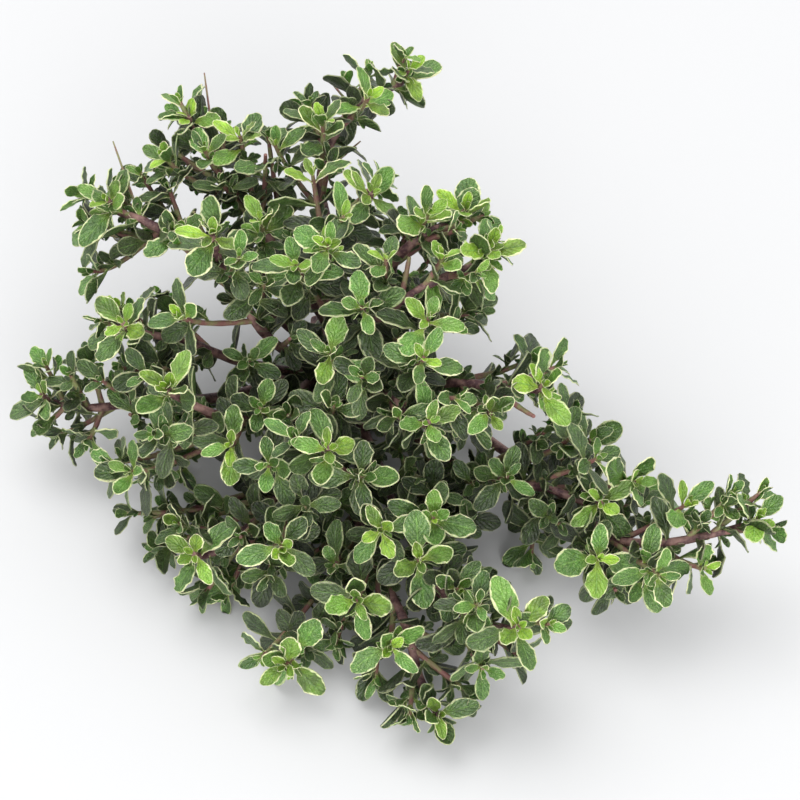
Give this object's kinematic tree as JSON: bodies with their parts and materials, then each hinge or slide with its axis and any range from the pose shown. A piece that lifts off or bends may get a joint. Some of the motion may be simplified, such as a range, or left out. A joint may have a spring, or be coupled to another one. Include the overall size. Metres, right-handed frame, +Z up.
{
  "type": "thyme bundle",
  "caption": "Loose bunch of variegated thyme lying on a surface: leafy stems laid together at their cut ends and fanning out.",
  "frame": {"origin": "middle of the ground that the bunch covers, on the plane it rests on", "axes": "+Z up from the surface, +X along the widest spread, towards the long right-hand stem, -Y towards the front tips and +Y towards the cut ends"},
  "size_m": [0.1705, 0.1522, 0.0709],
  "materials": {
    "thyme_sprig": "matte leaf, grey green with a thin cream edge, on purple-brown stems"
  },
  "bodies": {
    "root": {"leafy_stem_left_low": "thyme_sprig", "leafy_stem_front_left": "thyme_sprig", "leafy_stem_front": "thyme_sprig", "leafy_stem_front_right": "thyme_sprig", "leafy_stem_right_inner": "thyme_sprig", "leafy_stem_right_long": "thyme_sprig", "leafy_stem_left": "thyme_sprig", "leafy_stem_left_inner": "thyme_sprig", "leafy_stem_middle": "thyme_sprig", "leafy_stem_middle_right": "thyme_sprig", "leafy_stem_right_high": "thyme_sprig", "leafy_stem_left_top": "thyme_sprig", "leafy_stem_middle_back": "thyme_sprig", "leafy_stem_right_top": "thyme_sprig", "leafy_stem_right_back": "thyme_sprig", "leafy_stem_back_low": "thyme_sprig", "leafy_stem_back_left": "thyme_sprig", "leafy_stem_back_top": "thyme_sprig"}
  },
  "joints": []
}
